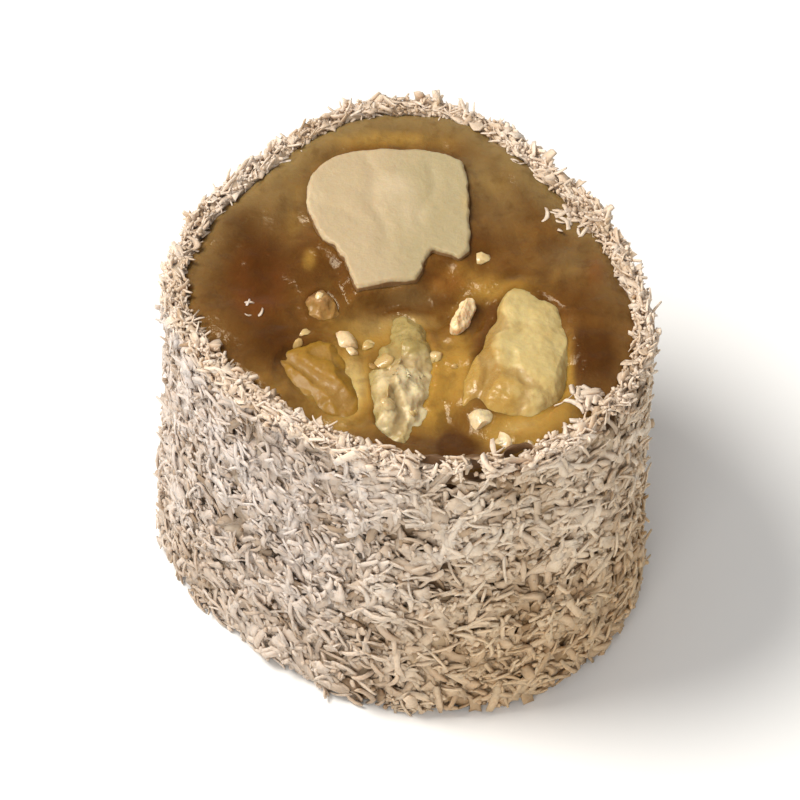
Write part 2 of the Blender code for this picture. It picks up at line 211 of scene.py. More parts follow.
class Paint:
    def __init__(self, name):
        self.material = bpy.data.materials.new(name)
        self.material.use_nodes = True
        self.tree = self.material.node_tree
        self.shader = self.tree.nodes["Principled BSDF"]
        self.place = self.tree.nodes.new("ShaderNodeTexCoord").outputs["Object"]

    def node(self, kind, inputs=(), **settings):
        made = self.tree.nodes.new(kind)
        for key, value in settings.items():
            setattr(made, key, value)
        for key, value in dict(inputs).items():
            if isinstance(value, bpy.types.NodeSocket):
                self.tree.links.new(value, made.inputs[key])
            else:
                made.inputs[key].default_value = value
        return made

    def noise(self, size, detail=3.0, rough=0.5, twist=0.0):
        inputs = {"Vector": self.place, "Scale": 1 / size, "Detail": detail, "Roughness": rough}
        return self.node("ShaderNodeTexNoise", {**inputs, "Distortion": twist}).outputs["Fac"]

    def attribute(self, name):
        return self.node("ShaderNodeAttribute", attribute_name=name).outputs["Fac"]

    def spread(self, value, low, high, toLow=0.0, toHigh=1.0):  # a soft step from one value to another
        inputs = {0: value, 1: low, 2: high, 3: toLow, 4: toHigh}
        return self.node("ShaderNodeMapRange", inputs, interpolation_type="SMOOTHSTEP").outputs[0]

    def maths(self, operation, a, b=0.0):
        return self.node("ShaderNodeMath", {0: a, 1: b}, operation=operation).outputs[0]

    def ruffle(self, value, pattern, amount):  # moves a value up and down with a pattern
        swing = self.maths("MULTIPLY", self.maths("SUBTRACT", pattern, 0.5), amount)
        return self.maths("ADD", value, swing)

    def mix(self, factor, a, b, blend="MIX"):
        made = self.node("ShaderNodeMix", data_type="RGBA", blend_type=blend)
        for socket, value in ((made.inputs[0], factor), (made.inputs[6], a), (made.inputs[7], b)):
            if isinstance(value, bpy.types.NodeSocket):
                self.tree.links.new(value, socket)
            else:
                socket.default_value = value if not isinstance(value, tuple) else (*value, 1.0)
        return made.outputs[2]

    def ramp(self, value, stops):
        made = self.node("ShaderNodeValToRGB", {"Fac": value})
        elements = made.color_ramp.elements
        while len(elements) < len(stops):
            elements.new(0.5)
        for element, (position, colour) in zip(elements, stops):
            element.position = position
            element.color = (*colour, 1.0)
        return made.outputs["Color"]

    def bump(self, height, depth, strength=1.0, under=None):
        inputs = {"Height": height, "Distance": depth, "Strength": strength}
        if under is not None:
            inputs["Normal"] = under
        return self.node("ShaderNodeBump", inputs).outputs["Normal"]

    def surface(self, **inputs):
        for key, value in inputs.items():
            socket = self.shader.inputs[key.replace("_", " ")]
            if isinstance(value, bpy.types.NodeSocket):
                self.tree.links.new(value, socket)
            elif isinstance(value, tuple) and len(value) == 3 and socket.type == "RGBA":
                socket.default_value = (*value, 1.0)
            else:
                socket.default_value = value


def shareOf(colour, shares, palest=1.0):
    return tuple(min(c * s, palest) for c, s in zip(colour, shares))


# The walnut pieces

usualNut = {  # lengths are in mm, and places are x and y on the cut face
    "smooth": 3,
    "lobes": 0.0,
    "lobeSize": 2.0,
    "ragged": 0.0,  # how torn the outline is
    "across": None,  # where the tone changes from left to right
    "skinSide": (0.0, 0.0),  # which way the brown skin shows
    "facets": [],  # broken faces: the normal, a place and its height over the cut
    "folds": [],  # grooves: two ends, half width and depth
    "syrupPatches": [],  # syrup, and painted shade: a place, half widths and amount
    # painted light and highlights: a place, half widths and amount
    "paintedLightPatches": [],
}
nutLook = {
    "walnut_back": {
        "voxel": 0.15, "smooth": 1, "grow": 0.03, "ragged": 0.28,
        "wrinkles": 0.16, "wrinkleSize": 2.8, "grain": 0.06, "grainSize": 0.45,
        "flesh": (0.450, 0.342, 0.200), "shade": (0.385, 0.305, 0.165), "syrup": (0.50, 0.33, 0.12),
        "mottle": 0.10, "cavity": 0.0, "syrupAll": 0.0, "rough": 0.42, "wetRough": 0.30,
        "across": (-2.4, 2.2), "edgeSkin": 1.2,
        # On this piece the syrup patches are painted shade along the right and top edges, and the next
        # patches paint a highlight at the top middle, a glow along the left edge and a lighter middle right.
        "syrupPatches": [(4.4, 5.6, 1.1, 5.0, 0.42), (0.6, 11.7, 5.0, 0.8, 0.5)],
        "paintedLightPatches": [(-0.5, 7.8, 1.5, 1.3, 0.9), (-5.8, 6.6, 0.9, 2.2, 0.8), (0.8, 5.2, 1.3, 1.6, 0.6)],
        "folds": [
            (-2.2, 10.4, -0.8, 2.0, 0.50, 0.10), (2.2, 9.8, 1.4, 4.4, 0.40, 0.08),
            (-5.6, 6.6, -3.0, 4.6, 0.45, 0.07),
        ],
    },
    "walnut_right": {
        "voxel": 0.20, "grow": 0.30, "lobes": 0.16, "lobeSize": 2.6,
        "wrinkles": 0.34, "wrinkleSize": 1.6, "grain": 0.08, "grainSize": 0.35,
        "flesh": (0.545, 0.415, 0.172), "shade": (0.500, 0.362, 0.135), "syrup": (0.375, 0.212, 0.038),
        "mottle": 0.22, "cavity": 0.55, "syrupAll": 0.95, "rough": 0.30, "wetRough": 0.16,
        "skinSide": (0.25, 0.15), "edgeSkin": 0.2,
        # The syrup patches keep the upper right dry and also darken the left facet, which the light strikes
        # most: painted shade. The next patch paints light on the upper facet.
        "syrupPatches": [(8.5, -4.6, 2.5, 4.8, -1.15), (9.8, -9.4, 1.5, 2.4, -0.8)],
        "paintedLightPatches": [(8.2, -3.6, 1.8, 2.2, 0.35)],
        "facets": [
            (0.20, 0.12, 0.97, 8.6, -4.6, 0.15), (-0.62, 0.05, 0.78, 4.7, -7.0, 0.05),
            (-0.10, -0.70, 0.70, 7.4, -10.8, -0.05), (0.80, -0.10, 0.60, 10.4, -6.4, -0.20),
            (0.35, 0.75, 0.58, 8.4, -0.6, -0.15), (-0.30, -0.50, 0.82, 5.6, -10.4, -0.10),
        ],
        "folds": [
            (5.9, -1.8, 5.0, -10.6, 0.50, 0.40), (7.4, -8.6, 7.8, -12.6, 0.40, 0.12),
            (5.2, -8.4, 9.6, -9.6, 0.45, 0.12),
        ],
    },
    "walnut_middle": {
        "voxel": 0.18, "smooth": 2, "grow": 0.50, "lobes": 0.36,
        "wrinkles": 0.50, "wrinkleSize": 1.0, "grain": 0.10, "grainSize": 0.32,
        "flesh": (0.610, 0.480, 0.262), "shade": (0.420, 0.315, 0.140), "syrup": (0.310, 0.222, 0.064),
        "mottle": 0.50, "cavity": 0.40, "syrupAll": 0.80, "rough": 0.32, "wetRough": 0.22,
        "edgeSkin": 0.15,
        # Syrup on the left and paler patches on the right even out how the light falls on this piece: painted
        # shade and painted light.
        "syrupPatches": [
            (0.4, -9.2, 2.2, 3.6, -0.9), (-1.8, -8.2, 0.6, 2.0, 0.3), (-0.2, -5.2, 1.6, 1.5, 0.5),
        ],
        "paintedLightPatches": [(0.5, -8.2, 0.9, 0.9, 0.7), (1.0, -9.8, 1.1, 2.0, 0.8)],
        "facets": [
            (-0.55, 0.25, 0.80, -0.9, -6.5, -0.25), (0.60, -0.20, 0.77, 0.9, -8.5, -0.20),
            (-0.2, -0.6, 0.77, -0.4, -11.8, -0.2),
        ],
        "folds": [
            (-0.9, -3.4, 0.0, -12.2, 0.35, 0.32), (-1.8, -6.3, 1.8, -7.3, 0.30, 0.26),
            (-1.8, -10.2, 1.9, -9.6, 0.30, 0.22),
        ],
    },
    "walnut_left": {
        "voxel": 0.20, "grow": 0.20, "lobes": 0.30, "lobeSize": 2.8,
        "wrinkles": 0.36, "wrinkleSize": 1.4, "grain": 0.07, "grainSize": 0.4,
        "flesh": (0.270, 0.142, 0.010), "shade": (0.215, 0.098, 0.006), "syrup": (0.262, 0.130, 0.007),
        "mottle": 0.40, "cavity": 0.60, "syrupAll": 0.9, "rough": 0.50, "wetRough": 0.46,
        "skinSide": (-0.8, 0.4), "edgeSkin": 0.15,
        "syrupPatches": [(-2.9, -11.0, 1.6, 1.6, -0.4)],
        "facets": [(0.60, 0.20, 0.77, -3.8, -6.8, -0.25), (-0.45, -0.40, 0.80, -6.2, -8.0, -0.25)],
        "folds": [(-7.4, -5.6, -3.4, -9.8, 0.40, 0.28), (-5.2, -5.2, -3.0, -7.6, 0.35, 0.18)],
    },
    "walnut_small": {
        "voxel": 0.15, "smooth": 2, "grow": 0.12, "lobes": 0.25, "lobeSize": 1.3,
        "wrinkles": 0.35, "wrinkleSize": 0.8, "grain": 0.08, "grainSize": 0.3,
        "flesh": (0.330, 0.180, 0.060), "shade": (0.230, 0.115, 0.026), "syrup": (0.310, 0.150, 0.028),
        "mottle": 0.50, "cavity": 0.65, "syrupAll": 0.7, "rough": 0.28, "wetRough": 0.20,
        "skinSide": (-0.5, 0.8), "edgeSkin": 0.5,
        # The next two lines paint a highlight at the top left of this piece, kept dry by a syrup patch.
        "syrupPatches": [(-5.4, -1.4, 1.0, 0.8, -0.5)],
        "paintedLightPatches": [(-5.2, -1.6, 0.5, 0.5, 0.6)],
        "facets": [(0.50, -0.45, 0.74, -4.4, -2.2, -0.20), (-0.65, 0.05, 0.76, -5.9, -1.8, -0.10)],
        "folds": [(-6.8, -1.6, -4.6, -3.0, 0.30, 0.25)],
    },
    "walnut_chip": {
        "voxel": 0.11, "smooth": 2, "grow": 0.10, "lobes": 0.20, "lobeSize": 1.1,
        "wrinkles": 0.30, "wrinkleSize": 0.7, "grain": 0.06, "grainSize": 0.22,
        "flesh": (0.860, 0.640, 0.370), "shade": (0.780, 0.530, 0.280), "syrup": (0.400, 0.210, 0.050),
        "mottle": 0.35, "cavity": 0.40, "syrupAll": 0.10, "rough": 0.22, "wetRough": 0.16,
        "edgeSkin": 0.2,
        "facets": [(0.65, -0.25, 0.72, 4.3, -2.7, 0.15), (-0.65, 0.3, 0.70, 3.6, -2.6, 0.15)],
    },
    "walnut_foot": {
        "voxel": 0.22, "grow": 0.08, "ragged": 0.3,
        "wrinkles": 0.3, "wrinkleSize": 2.0, "grain": 0.05, "grainSize": 0.5,
        "flesh": (0.500, 0.385, 0.225), "shade": (0.440, 0.340, 0.175), "syrup": (0.400, 0.210, 0.050),
        "mottle": 0.3, "cavity": 0.2, "syrupAll": 0.1, "rough": 0.40, "wetRough": 0.30,
        "edgeSkin": 0.9,
    },
}
walnutTones = {
    "skin": (0.17, 0.075, 0.022),
    "hollow": (0.28, 0.15, 0.035),
    "tan": (0.74, 0.62, 0.42),  # this and the pale tone are shares of the flesh's own colour; the pale tone also paints light and highlights
    "pale": (1.16, 1.20, 1.28),
    "gleam": (1.0, 0.92, 0.78, 1.0),
}


def walnutPaint(name, look):
    paint = Paint(name)
    flesh = look["flesh"]
    patches = paint.noise(2.6 * mm, 2.0, 0.55, twist=0.6)
    specks = paint.noise(0.55 * mm, 4.0, 0.6, twist=0.4)
    fine = paint.noise(0.16 * mm, 3.0, 0.6)
    share = paint.spread(patches, 0.35, 0.66)
    if look["across"]:  # one side of the cut is rosier than the other
        x = paint.node("ShaderNodeSeparateXYZ", {0: paint.place}).outputs["X"]
        left, right = look["across"]
        share = paint.spread(paint.ruffle(x, patches, 4 * mm), left * mm, right * mm)
    colour = paint.mix(share, flesh, look["shade"])
    tan = shareOf(flesh, walnutTones["tan"])
    pale = shareOf(flesh, walnutTones["pale"], 0.9)
    colour = paint.mix(paint.spread(specks, 0.50, 0.78, 0.0, look["mottle"]), colour, tan)
    colour = paint.mix(paint.spread(specks, 0.46, 0.22, 0.0, look["mottle"] * 0.8), colour, pale)
    # painted light and highlights from the pale patches
    colour = paint.mix(paint.spread(paint.attribute("pale"), 0.1, 1.0, 0.0, 0.85), colour, pale)
    # the syrup tone, both where syrup lies and as painted shade
    syrupAndShadeMask = paint.spread(paint.ruffle(paint.attribute("syrup"), patches, 0.9), 0.30, 0.85, 0.0, 0.85)
    colour = paint.mix(syrupAndShadeMask, colour, look["syrup"])
    hollow = paint.ruffle(paint.attribute("hollow"), specks, 0.5)
    hollow = paint.spread(hollow, 0.62, 1.0, 0.0, look["cavity"])
    colour = paint.mix(hollow, colour, walnutTones["hollow"])
    skin = paint.spread(paint.attribute("skin"), 0.35, 0.75, 0.0, 0.85)
    colour = paint.mix(skin, colour, walnutTones["skin"])
    rough = paint.mix(syrupAndShadeMask, (look["rough"] + 0.06,) * 3, (look["wetRough"],) * 3)
    rough = paint.maths("ADD", rough, paint.spread(specks, 0.3, 0.7, 0.0, 0.14))
    normal = paint.bump(specks, 0.10 * mm, 0.5)
    normal = paint.bump(fine, 0.04 * mm, 0.5, normal)
    paint.surface(
        Base_Color=colour, Roughness=rough, Normal=normal, Subsurface_Weight=0.4,
        Subsurface_Radius=(1.0, 0.55, 0.25), Subsurface_Scale=0.9 * mm, Coat_Weight=0.1,
        Coat_Roughness=0.15, Specular_IOR_Level=0.4, Specular_Tint=walnutTones["gleam"])
    return paint.material


def breakFaces(obj, facets):  # flattens what stands past each broken face
    points = verticesOf(obj)
    for nx, ny, nz, x, y, z in facets:
        normal = np.array(Vector((nx, ny, nz)).normalized())
        over = points @ normal - np.dot(normal, (x * mm, y * mm, sliceTop + z * mm))
        points -= np.outer(np.clip(over, 0, None) * 0.8, normal)
    moveVertices(obj, points)


def pressFolds(obj, folds):  # wandering grooves in the upper side
    points = verticesOf(obj)
    flat = points[:, :2] / mm
    wander = 0.30 * np.sin(flat[:, ::-1] / 0.75 + flat / 1.9)
    for x1, y1, x2, y2, wide, deep in folds:
        start, along = np.array([x1, y1]), np.array([x2 - x1, y2 - y1])
        away = flat + wander - start
        share = np.clip(away @ along / np.dot(along, along), 0, 1)
        far = np.linalg.norm(away - share[:, None] * along, axis=1) / wide
        points[:, 2] -= deep * mm * np.exp(-far ** 2) * (points[:, 2] > sliceTop - 2.5 * mm)
    moveVertices(obj, points)


def makeNut(nodeName, look):
    plainName = nodeName.replace("walnut_", "walnut")
    nut = copyOfSolid(nodeName, plainName + "Piece")
    low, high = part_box(nodeName)
    applyModifier(nut, "REMESH", mode="VOXEL", voxel_size=look["voxel"] * mm)
    applyModifier(nut, "SMOOTH", factor=0.5, iterations=look["smooth"])
    showing = high.z - 2.6 * mm  # the sides can be seen down to here
    refineFaces(nut, lambda centre, normal: centre.z > showing and normal.z > -0.2)
    swell(nut, look["grow"] * mm)
    breakFaces(nut, look["facets"])
    if look["ragged"]:
        raggedEdge = reliefTexture("CLOUDS", 1.1 * mm, noise_depth=2)
        addRelief(nut, raggedEdge, look["ragged"] * mm, direction="X")
        addRelief(nut, raggedEdge, look["ragged"] * mm, direction="Y")
    plain, outward = verticesOf(nut), normalsOf(nut)
    pressFolds(nut, look["folds"])
    if look["lobes"]:
        lobes = reliefTexture("VORONOI", look["lobeSize"] * mm, weight_1=-1.0, weight_2=1.0)
        addRelief(nut, lobes, look["lobes"] * mm)
    wrinkles = reliefTexture("CLOUDS", look["wrinkleSize"] * mm, noise_depth=2)
    flatCut = nodeName == "walnut_back"
    addRelief(nut, wrinkles, look["wrinkles"] * mm, direction="Z" if flatCut else "NORMAL")
    addRelief(nut, reliefTexture("CLOUDS", look["grainSize"] * mm, noise_depth=3), look["grain"] * mm)
    raised = np.sum((verticesOf(nut) - plain) * outward, axis=1)
    spread = max(raised.std() * 4, 1e-9)
    storeValues(nut, "hollow", 0.5 - (raised - np.median(raised)) / spread)
    # syrup, and painted shade from the patches
    storeValues(nut, "syrup", look["syrupAll"] + patchField(plain, look["syrupPatches"]))
    # the pale attribute holds the painted light and highlights
    storeValues(nut, "pale", patchField(plain, look["paintedLightPatches"]))
    sideways = 1.0 - np.abs(outward[:, 2])
    under = np.clip((high.z - 0.05 * mm - plain[:, 2]) / (0.16 * mm), 0, 1)
    skinned = np.clip(outward[:, :2] @ np.array(look["skinSide"]), 0, 1) * 1.3
    storeValues(nut, "skin", np.maximum(sideways * under * look["edgeSkin"], skinned))
    if low.z < 0.1 * mm:
        levelFoot(nut, 0.02 * mm)
    finishPiece(nut, walnutPaint(plainName, look), "walnut", nodeName)
    return nut


print("walnut pieces")
nuts = [makeNut(nodeName, {**usualNut, **look}) for nodeName, look in nutLook.items()]


# The jelly

jellyLook = {
    "voxel": 0.30 * mm,
    "bedFill": 0.35 * mm,
    "jellyRound": {  # how far below the slice's top the jelly meets each walnut piece
        "walnut_back": 0.25 * mm,
        "walnut_right": 0.70 * mm,
        "walnut_middle": 1.25 * mm,
        "walnut_left": 1.0 * mm,
        "walnut_small": 0.8 * mm,
        "walnut_chip": 0.9 * mm,
        "walnut_foot": 15 * mm,
    },
    "stretch": 1.035,  # outwards, up to the coat
    "fineDepth": 3 * mm,
    "lumps": 0.55 * mm,
    "lumpSize": 2.4 * mm,
    "ripples": 0.14 * mm,
    "rippleSize": 0.8 * mm,
    "climb": 0.26 * mm,  # how far the jelly rises where it meets a walnut piece
    "climbReach": 0.8 * mm,
    "footLift": 0.06 * mm,
    "rimLight": 0.42,  # how much the coat lights the jelly beside it
    "rimLightPerMm": 0.06,  # more to the back
    "leastRimLight": 0.2,
    "brown": (0.105, 0.040, 0.006),
    "lightBrown": (0.150, 0.062, 0.010),
    "amber": (0.375, 0.205, 0.036),
    "olive": (0.255, 0.170, 0.064),
    "pale": (0.500, 0.345, 0.125),
    "red": (0.195, 0.052, 0.009),
    "deepBrownAndShadow": (0.062, 0.019, 0.002),
    "specks": (0.065, 0.024, 0.003),
    "gleam": (1.0, 0.84, 0.58, 1.0),
    "wetGleam": (1.0, 0.96, 0.88, 1.0),
    "patches": {  # on the cut face: x and y, half widths in mm, and amount
        "amber": [  # light shows through the jelly
            (-0.9, 12.4, 4.5, 1.0, 0.85), (-6.6, 8.6, 1.6, 2.6, 0.45), (6.6, 8.4, 2.2, 2.2, 0.3),
            (-4.6, -8.4, 3.6, 3.4, 0.5), (1.9, -8.6, 0.9, 3.4, 0.8), (9.8, -11.0, 2.6, 1.4, 0.5),
            (-1.0, -5.0, 1.4, 1.2, 0.3), (10.6, 1.2, 2.0, 1.2, 0.25), (-2.8, -11.8, 3.0, 1.0, 0.4),
            (6.2, -0.6, 3.2, 1.3, 0.65), (-1.1, -3.4, 1.8, 1.1, 0.75), (-3.6, -3.2, 1.6, 1.4, 0.4),
            (0.5, -8.0, 6.5, 4.5, 0.30), (-6.9, 5.0, 0.6, 1.4, 0.4), (-5.8, 1.9, 0.6, 1.2, 0.8),
            (-4.7, 0.2, 0.6, 1.0, 0.4), (3.6, 0.8, 1.8, 1.2, 0.35), (8.0, -13.6, 2.6, 1.3, 0.5),
            (3.7, -7.0, 1.0, 3.0, 0.8), (-2.9, -8.0, 0.9, 2.4, 0.95), (7.2, -12.0, 2.4, 1.2, 1.1),
            (10.4, -7.6, 0.6, 2.6, 1.1), (1.2, -2.6, 1.6, 1.0, 0.35),
        ],
        # deep brown jelly; the patch at (-0.4, -1.5) is a painted shadow under the back walnut's front edge
        "deepBrownAndShadow": [
            (-8.8, 1.0, 2.6, 3.6, 0.9), (-7.8, -5.0, 1.8, 2.2, 0.9), (12.6, -6.4, 1.2, 3.0, 1.0),
            (3.7, -13.2, 1.6, 1.0, 1.0), (-0.4, -1.5, 2.0, 0.7, 0.5), (6.4, 3.4, 2.6, 1.4, 0.35),
            (2.9, -2.6, 1.0, 0.9, 0.3), (-4.8, -0.6, 1.0, 1.0, 0.5), (-10.4, 5.0, 1.8, 2.4, 0.5),
            (-12.0, -1.5, 1.0, 3.0, 0.3), (3.3, -13.2, 0.8, 1.9, 1.2), (2.8, -8.6, 0.4, 3.0, 0.3),
            (11.4, -6.0, 0.5, 2.6, 0.8), (-10.6, -5.8, 1.2, 2.0, 0.4),
        ],
        "red": [(-9.0, 0.2, 1.8, 3.2, 1.0), (3.2, 0.2, 2.0, 1.3, 0.5), (12.4, 1.0, 1.0, 2.0, 0.5)],
        "olive": [
            (-8.4, 8.0, 3.4, 3.6, 0.55), (11.0, 2.0, 2.0, 2.0, 0.42), (8.5, 9.5, 3.0, 2.5, 0.3),
            (5.0, 9.7, 1.4, 2.4, 0.5), (-1.8, -3.0, 1.4, 0.9, 0.6), (0.6, -0.9, 1.6, 0.7, 0.35),
            (2.3, 12.6, 2.4, 1.0, 0.35), (6.6, 6.4, 2.0, 2.6, 0.3),
        ],
        "pale": [  # walnut just under the surface
            (-2.9, -8.0, 0.8, 2.2, 1.15), (7.2, -12.0, 1.8, 0.8, 0.5), (-4.2, -11.4, 1.4, 0.8, 0.3),
            (0.4, -2.6, 2.0, 0.8, 0.6),
        ],
    },
}


def jellyPaint():
    paint = Paint("amberJelly")
    big = paint.noise(3.0 * mm, 2.0, 0.5, twist=0.4)
    small = paint.noise(0.9 * mm, 3.0, 0.55)
    share = paint.spread(big, 0.36, 0.66)
    colour = paint.mix(share, jellyLook["brown"], jellyLook["lightBrown"])
    glow = paint.ruffle(paint.attribute("amber"), big, 0.7)
    colour = paint.mix(paint.spread(glow, 0.10, 0.95, 0.0, 0.9), colour, jellyLook["amber"])
    nearCoat = paint.ruffle(paint.attribute("nearCoat"), big, 1.12)
    nearCoat = paint.spread(nearCoat, 0.4, 3.2, 0.8, 0.0)
    rim = paint.maths("MULTIPLY", nearCoat, paint.attribute("rimLight"))
    rim = paint.maths("MAXIMUM", rim, paint.ruffle(paint.attribute("olive"), big, 0.28))
    colour = paint.mix(rim, colour, jellyLook["olive"])
    pale = paint.ruffle(paint.attribute("pale"), big, 0.28)
    colour = paint.mix(paint.spread(pale, 0.1, 1.0, 0.0, 0.9), colour, jellyLook["pale"])
    red = paint.spread(paint.attribute("red"), 0.1, 0.9, 0.0, 0.75)
    colour = paint.mix(red, colour, jellyLook["red"])
    # deep brown, with a painted shadow under the back walnut
    deepBrownAndShadow = paint.ruffle(paint.attribute("deepBrownAndShadow"), big, 0.7)
    colour = paint.mix(paint.spread(deepBrownAndShadow, 0.15, 0.95, 0.0, 0.88), colour, jellyLook["deepBrownAndShadow"])
    colour = paint.mix(paint.spread(small, 0.45, 0.75, 0.0, 0.35), colour, jellyLook["specks"])
    rough = paint.spread(paint.noise(1.4 * mm, 3.0), 0.3, 0.7, 0.10, 0.26)
    normal = paint.bump(small, 0.22 * mm, 0.5)
    normal = paint.bump(paint.noise(0.22 * mm, 3.0), 0.05 * mm, 0.5, normal)
    paint.surface(
        Base_Color=colour, Roughness=rough, Normal=normal, IOR=1.42, Subsurface_Weight=0.45,
        Subsurface_Radius=(1.0, 0.45, 0.15), Subsurface_Scale=1.2 * mm, Coat_Weight=0.05,
        Coat_Roughness=0.05, Specular_IOR_Level=0.25, Specular_Tint=jellyLook["gleam"],
        Coat_Tint=jellyLook["wetGleam"])
    return paint.material


def walnutBeds():  # fills the solid's pockets up to the face that shows
    fills = []
    for nodeName, below in jellyLook["jellyRound"].items():
        fill = copyOfSolid(nodeName, "bedFill")
        swell(fill, jellyLook["bedFill"])
        levelBetween(fill, 0.0, sliceTop - below)
        fills.append(fill)
    return fills


def climbRound(jelly):  # the jelly rises a little against each walnut piece
    nearNut = distancesTo(jelly, nuts)
    climb = jelly.vertex_groups.new(name="climb")
    for i in np.flatnonzero(nearNut < jellyLook["climbReach"]).tolist():
        near = 1.0 - nearNut[i] / jellyLook["climbReach"]
        climb.add([i], near * near * (3 - 2 * near), "REPLACE")
    swell(jelly, jellyLook["climb"], "Z", "climb")


def makeJelly():
    jelly = copyOfSolid("jelly", "jellyBody")
    joinInto(jelly, walnutBeds())
    applyModifier(jelly, "REMESH", mode="VOXEL", voxel_size=jellyLook["voxel"])
    applyModifier(jelly, "SMOOTH", factor=0.6, iterations=6)
    editAll(jelly)
    wider = (jellyLook["stretch"], jellyLook["stretch"], 1.0)
    bpy.ops.transform.resize(value=wider, center_override=sliceMiddle)
    bpy.ops.object.mode_set(mode="OBJECT")
    fineFrom = sliceTop - jellyLook["fineDepth"]
    refineFaces(jelly, lambda centre, normal: centre.z > fineFrom and normal.z > 0.2)
    lumps = reliefTexture("CLOUDS", jellyLook["lumpSize"], noise_depth=1)
    addRelief(jelly, lumps, jellyLook["lumps"], direction="Z")
    addRelief(jelly, reliefTexture("CLOUDS", jellyLook["rippleSize"], noise_depth=2), jellyLook["ripples"])
    climbRound(jelly)
    levelFoot(jelly, jellyLook["footLift"])
    points = verticesOf(jelly)
    for tone, patches in jellyLook["patches"].items():
        storeValues(jelly, tone, patchField(points, patches))
    storeValues(jelly, "nearCoat", distancesTo(jelly, [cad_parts["coconut_coat"]]) / mm)
    rimLight = jellyLook["rimLight"] + jellyLook["rimLightPerMm"] * points[:, 1] / mm
    storeValues(jelly, "rimLight", np.clip(rimLight, jellyLook["leastRimLight"], 1.0))
    finishPiece(jelly, jellyPaint(), "jelly", "jelly")
    return jelly


print("jelly")
jelly = makeJelly()


# The coconut coat

# The lengths of each kind are in mm, its depth is how far out from the jelly it lies, and its tint runs from
# brown at 0 to pale at 1; deeper pieces and hollows get lower tints as painted shade
coatLook = {
    "shreds": {
        "count": 5300, "length": (1.1, 2.9), "width": (0.30, 0.68), "thick": (0.13, 0.24),
        "depth": (0.95, 1.45), "tilt": 0.20, "rimShare": 0.07, "tint": (0.2, 1.0), "seed": 5,
    },
    "threads": {
        "count": 4600, "length": (0.8, 2.3), "width": (0.16, 0.34), "thick": (0.09, 0.17),
        "depth": (1.05, 1.60), "tilt": 0.50, "rimShare": 0.15, "tint": (0.35, 1.0), "seed": 6,
    },
    "flakes": {
        "count": 3300, "length": (0.8, 2.0), "width": (0.50, 1.15), "thick": (1.0, 1.0),
        "depth": (0.85, 1.45), "tilt": 0.25, "rimShare": 0.09, "tint": (0.1, 0.9), "seed": 7,
    },
    "grains": {
        "count": 9300, "length": (0.25, 0.70), "width": (0.22, 0.50), "thick": (0.22, 0.42),
        "depth": (0.85, 1.50), "tilt": 0.8, "rimShare": 0.26, "tint": (0.0, 1.0), "seed": 8,
    },
    "spacing": 0.6180339,  # of a turn from each piece to the next, which spreads them evenly
    "rimHeight": (-0.7, 0.15),  # about the cut face
    "rimDepth": (0.25, 1.45),
    "rimRise": 0.35,  # pieces on the rim lie flatter
    "rimLean": 0.9,
    "rimSize": 0.66,
    # paler pieces along the rim: painted light where the light grazes it
    "rimPaintedLight": 0.25,
    "brownShare": 0.012,  # of the pieces are brown
    "brownTint": -0.35,
    "baseVoxel": 0.3 * mm,
    "baseInset": 0.40 * mm,
    "clumpSize": 1.7 * mm,
    "clumpRise": 0.30 * mm,
    # painted light on thick clumps and painted shade in the hollows between them
    "clumpLightAndShade": 0.75,
    "thinnedBelow": -0.35,  # in hollows deeper than this half of the pieces are left out
    "bareSpots": [  # bearing in degrees, height and reach in mm
        (-82, 23.1, 1.35), (-73, 23.2, 1.1), (-79, 21.4, 0.7), (-40, 23.0, 1.0), (-63, 24.0, 1.1),
    ],
    "bareGain": 2.5,  # how sharp the edge of a bare spot is
    "bareFrom": 0.35,
    "bareKeeps": 7,  # one piece in so many lies in a bare spot
    "bareDepth": 0.45 * mm,
    "bareAndShadeColour": (0.115, 0.055, 0.018),
    "footHeight": 15 * mm,
    "sideSpan": 8 * mm,
    "lowerRightShadeBand": (6 * mm, 18 * mm),
    "underRim": (22.2 * mm, 23.8 * mm),
    "rimBand": (22.4 * mm, 23.6 * mm),
    "specks": (0.8, 0.7, 0.6),  # this and the next five are shares of the coconut's own colour; the four after the specks paint light and shade on the side, with a warm reflected cast on the right and at the foot
    "footShade": (0.84, 0.76, 0.63),
    "leftSideShade": (0.80, 0.795, 0.815),
    "rightSideShade": (0.96, 0.895, 0.785),
    "lowerRightShadeTone": (0.92, 0.845, 0.72),
    "rimTone": (1.0, 0.935, 0.86),
    # darker tones for the packed coconut under the shreds: painted shade in the gaps between them
    "gapShadeTones": ((0.34, 0.25, 0.17), (0.50, 0.40, 0.29), (0.62, 0.52, 0.41)),
    "paleTones": ((0.40, 0.29, 0.19), (0.61, 0.49, 0.385), (0.80, 0.695, 0.605)),
}


